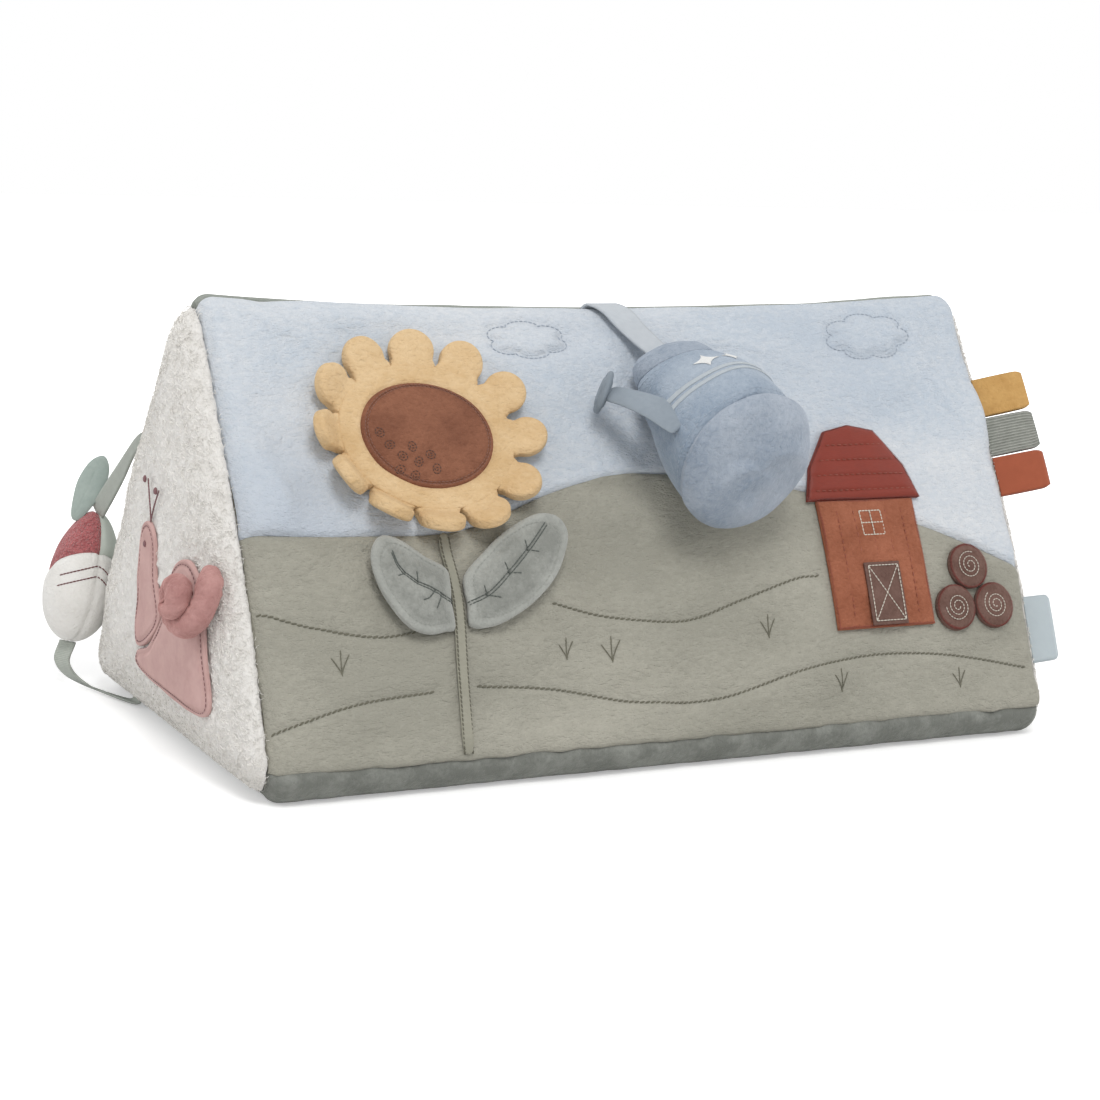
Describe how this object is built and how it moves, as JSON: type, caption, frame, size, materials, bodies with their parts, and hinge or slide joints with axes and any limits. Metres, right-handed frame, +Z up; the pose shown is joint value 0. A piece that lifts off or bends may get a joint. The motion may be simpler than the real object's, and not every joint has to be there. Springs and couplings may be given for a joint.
{
  "type": "soft activity triangle",
  "caption": "Stuffed three-sided activity bolster for babies with a flap-petal flower, a hanging can, a hanging radish, a coil, pictures and ribbon tags.",
  "frame": {"origin": "middle of the flat base, on the surface that the bolster lies on", "axes": "+X along the ridge to the end with the tags, +Y to the back, +Z up"},
  "size_m": [0.4573, 0.2399, 0.2024],
  "materials": {
    "foam": "matt open foam",
    "sky_minky": "short smooth plush",
    "hill_minky": "short smooth plush",
    "back_minky": "short smooth plush",
    "base_velvet": "velvety short pile",
    "teddy_pile": "curly teddy pile",
    "brown_minky": "short smooth plush",
    "yellow_plush": "ribbed short plush",
    "stem_cord": "short plush with stitched edges",
    "leaf_minky": "short plush with embroidered veins",
    "grey_ribbon": "woven ribbon",
    "can_minky": "short smooth plush",
    "band_minky": "short smooth plush",
    "rattle_plastic": "matt",
    "spout_suede": "brushed fabric",
    "rust_fabric": "ribbed fabric",
    "red_satin": "satin stitched",
    "bale_plush": "short pile with stitched rings",
    "yellow_tag": "brushed cotton",
    "ribbed_tag": "ribbed jersey",
    "rust_tag": "satin ribbon",
    "label_satin": "woven satin",
    "pink_suede": "brushed fabric",
    "pink_plush": "plush",
    "white_plush": "plush",
    "red_terry": "looped terry",
    "sage_suede": "brushed fabric",
    "sage_ribbon": "woven ribbon",
    "leaf_felt": "brushed felt"
  },
  "bodies": {
    "bolster": {"foam_core": "foam", "front_sky_panel": "sky_minky", "front_hill_panel": "hill_minky", "back_panel": "back_minky", "base_panel": "base_velvet", "left_end_panel": "teddy_pile", "right_end_panel": "teddy_pile", "flower_disc": "brown_minky", "flower_ring": "yellow_plush", "stem_band": "stem_cord", "barn_wall": "rust_fabric", "barn_roof": "red_satin", "barn_door": "bale_plush", "hay_bale_1": "bale_plush", "hay_bale_2": "bale_plush", "hay_bale_3": "bale_plush", "snail_foot": "pink_suede", "snail_neck": "pink_suede"},
    "petal_1": {"petal_1": "yellow_plush"},
    "petal_2": {"petal_2": "yellow_plush"},
    "petal_3": {"petal_3": "yellow_plush"},
    "petal_4": {"petal_4": "yellow_plush"},
    "petal_5": {"petal_5": "yellow_plush"},
    "petal_6": {"petal_6": "yellow_plush"},
    "petal_7": {"petal_7": "yellow_plush"},
    "petal_8": {"petal_8": "yellow_plush"},
    "petal_9": {"petal_9": "yellow_plush"},
    "petal_10": {"petal_10": "yellow_plush"},
    "petal_11": {"petal_11": "yellow_plush"},
    "petal_12": {"petal_12": "yellow_plush"},
    "leaf_left": {"leaf_left": "leaf_minky"},
    "leaf_right": {"leaf_right": "leaf_minky"},
    "can_ribbon": {"can_ribbon": "grey_ribbon"},
    "can": {"can_shoulder": "can_minky", "can_band": "band_minky", "can_bottom": "can_minky", "can_rattle": "rattle_plastic", "can_spout": "spout_suede", "can_rose": "spout_suede", "can_handle": "spout_suede"},
    "radish": {"radish_body": "white_plush", "radish_cheek": "red_terry", "radish_flank": "sage_suede", "radish_hang_ribbon": "sage_ribbon", "radish_loop_ribbon": "sage_ribbon"},
    "radish_leaf": {"radish_leaf": "leaf_felt"},
    "snail_coil": {"snail_coil": "pink_plush"},
    "tag_yellow": {"tag_yellow": "yellow_tag"},
    "tag_ribbed": {"tag_ribbed": "ribbed_tag"},
    "tag_rust": {"tag_rust": "rust_tag"},
    "blank_label": {"blank_label": "label_satin"}
  },
  "joints": [
    {"name": "petal_1_flap", "type": "hinge", "parent": "bolster", "child": "petal_1", "pos_m": [-0.0698, -0.05591, 0.14568], "axis": [-0.0372, -0.5454, -0.8373], "range_deg": [-22, 58], "stiffness_Nm_per_rad": 0.002},
    {"name": "petal_2_flap", "type": "hinge", "parent": "bolster", "child": "petal_2", "pos_m": [-0.07484, -0.0456, 0.16109], "axis": [0.522, -0.4913, -0.6972], "range_deg": [-20, 60], "stiffness_Nm_per_rad": 0.002},
    {"name": "petal_3_flap", "type": "hinge", "parent": "bolster", "child": "petal_3", "pos_m": [-0.08965, -0.03751, 0.17191], "axis": [0.8674, -0.3059, -0.3924], "range_deg": [-16, 64], "stiffness_Nm_per_rad": 0.002},
    {"name": "petal_4_flap", "type": "hinge", "parent": "bolster", "child": "petal_4", "pos_m": [-0.11012, -0.03401, 0.17642], "axis": [0.9973, -0.0436, -0.0596], "range_deg": [-14, 66], "stiffness_Nm_per_rad": 0.002},
    {"name": "petal_5_flap", "type": "hinge", "parent": "bolster", "child": "petal_5", "pos_m": [-0.13101, -0.03587, 0.17405], "axis": [0.9256, 0.2281, 0.3021], "range_deg": [-18, 62], "stiffness_Nm_per_rad": 0.002},
    {"name": "petal_6_flap", "type": "hinge", "parent": "bolster", "child": "petal_6", "pos_m": [-0.1469, -0.04261, 0.16468], "axis": [0.6009, 0.4546, 0.6575], "range_deg": [-32, 48], "stiffness_Nm_per_rad": 0.002},
    {"name": "petal_7_flap", "type": "hinge", "parent": "bolster", "child": "petal_7", "pos_m": [-0.1533, -0.05242, 0.14988], "axis": [0.038, 0.5441, 0.8382], "range_deg": [-44, 36], "stiffness_Nm_per_rad": 0.002},
    {"name": "petal_8_flap", "type": "hinge", "parent": "bolster", "child": "petal_8", "pos_m": [-0.14826, -0.06241, 0.13431], "axis": [-0.5217, 0.4563, 0.7208], "range_deg": [-54, 26], "stiffness_Nm_per_rad": 0.002},
    {"name": "petal_9_flap", "type": "hinge", "parent": "bolster", "child": "petal_9", "pos_m": [-0.13343, -0.06988, 0.12239], "axis": [-0.8691, 0.2616, 0.4197], "range_deg": [-56, 24], "stiffness_Nm_per_rad": 0.002},
    {"name": "petal_10_flap", "type": "hinge", "parent": "bolster", "child": "petal_10", "pos_m": [-0.11292, -0.07317, 0.11723], "axis": [-0.9978, 0.041, 0.0521], "range_deg": [-52, 28], "stiffness_Nm_per_rad": 0.002},
    {"name": "petal_11_flap", "type": "hinge", "parent": "bolster", "child": "petal_11", "pos_m": [-0.09202, -0.07162, 0.12021], "axis": [-0.9223, -0.1909, -0.3362], "range_deg": [-40, 40], "stiffness_Nm_per_rad": 0.002},
    {"name": "petal_12_flap", "type": "hinge", "parent": "bolster", "child": "petal_12", "pos_m": [-0.07617, -0.06545, 0.13062], "axis": [-0.5986, -0.4182, -0.6832], "range_deg": [-28, 52], "stiffness_Nm_per_rad": 0.002},
    {"name": "leaf_left_flap", "type": "hinge", "parent": "bolster", "child": "leaf_left", "pos_m": [-0.11263, -0.09231, 0.08225], "axis": [-0.0005, 0.4309, 0.9024], "range_deg": [-6, 78], "stiffness_Nm_per_rad": 0.02},
    {"name": "leaf_right_flap", "type": "hinge", "parent": "bolster", "child": "leaf_right", "pos_m": [-0.10545, -0.09323, 0.08044], "axis": [0.0005, -0.4269, -0.9043], "range_deg": [-6, 78], "stiffness_Nm_per_rad": 0.02},
    {"name": "can_lift", "type": "hinge", "parent": "bolster", "child": "can_ribbon", "pos_m": [-0.001, 0, 0.1977], "axis": [-1, 0, 0], "range_deg": [0, 140]},
    {"name": "can_nod", "type": "hinge", "parent": "can_ribbon", "child": "can", "pos_m": [0.014, -0.03579, 0.18028], "axis": [-0.9891, -0.0941, -0.1133], "range_deg": [0, 50]},
    {"name": "radish_swing", "type": "hinge", "parent": "bolster", "child": "radish", "pos_m": [-0.201, 0.05082, 0.12832], "axis": [0.3987, 0.9171, 0], "range_deg": [0, 15]},
    {"name": "radish_leaf_bend", "type": "hinge", "parent": "radish", "child": "radish_leaf", "pos_m": [-0.2173, 0.10988, 0.08343], "axis": [0.7586, -0.6374, -0.135], "range_deg": [-5, 50], "stiffness_Nm_per_rad": 0.002},
    {"name": "coil_wiggle", "type": "hinge", "parent": "bolster", "child": "snail_coil", "pos_m": [-0.20999, -0.06, 0.0969], "axis": [0, 1, 0], "range_deg": [0, 50], "stiffness_Nm_per_rad": 0.01},
    {"name": "tag_yellow_bend", "type": "hinge", "parent": "bolster", "child": "tag_yellow", "pos_m": [0.20233, -0.03469, 0.15435], "axis": [0.0021, -0.5435, -0.8394], "range_deg": [-20, 60], "stiffness_Nm_per_rad": 0.003},
    {"name": "tag_ribbed_bend", "type": "hinge", "parent": "bolster", "child": "tag_ribbed", "pos_m": [0.20233, -0.04601, 0.13659], "axis": [0.0016, -0.529, -0.8486], "range_deg": [-20, 60], "stiffness_Nm_per_rad": 0.003},
    {"name": "tag_rust_bend", "type": "hinge", "parent": "bolster", "child": "tag_rust", "pos_m": [0.20233, -0.05696, 0.11861], "axis": [0.0009, -0.5081, -0.8613], "range_deg": [-20, 60], "stiffness_Nm_per_rad": 0.003},
    {"name": "label_bend", "type": "hinge", "parent": "bolster", "child": "blank_label", "pos_m": [0.20233, -0.09256, 0.049], "axis": [-0.0024, -0.4037, -0.9149], "range_deg": [-20, 60], "stiffness_Nm_per_rad": 0.003}
  ]
}
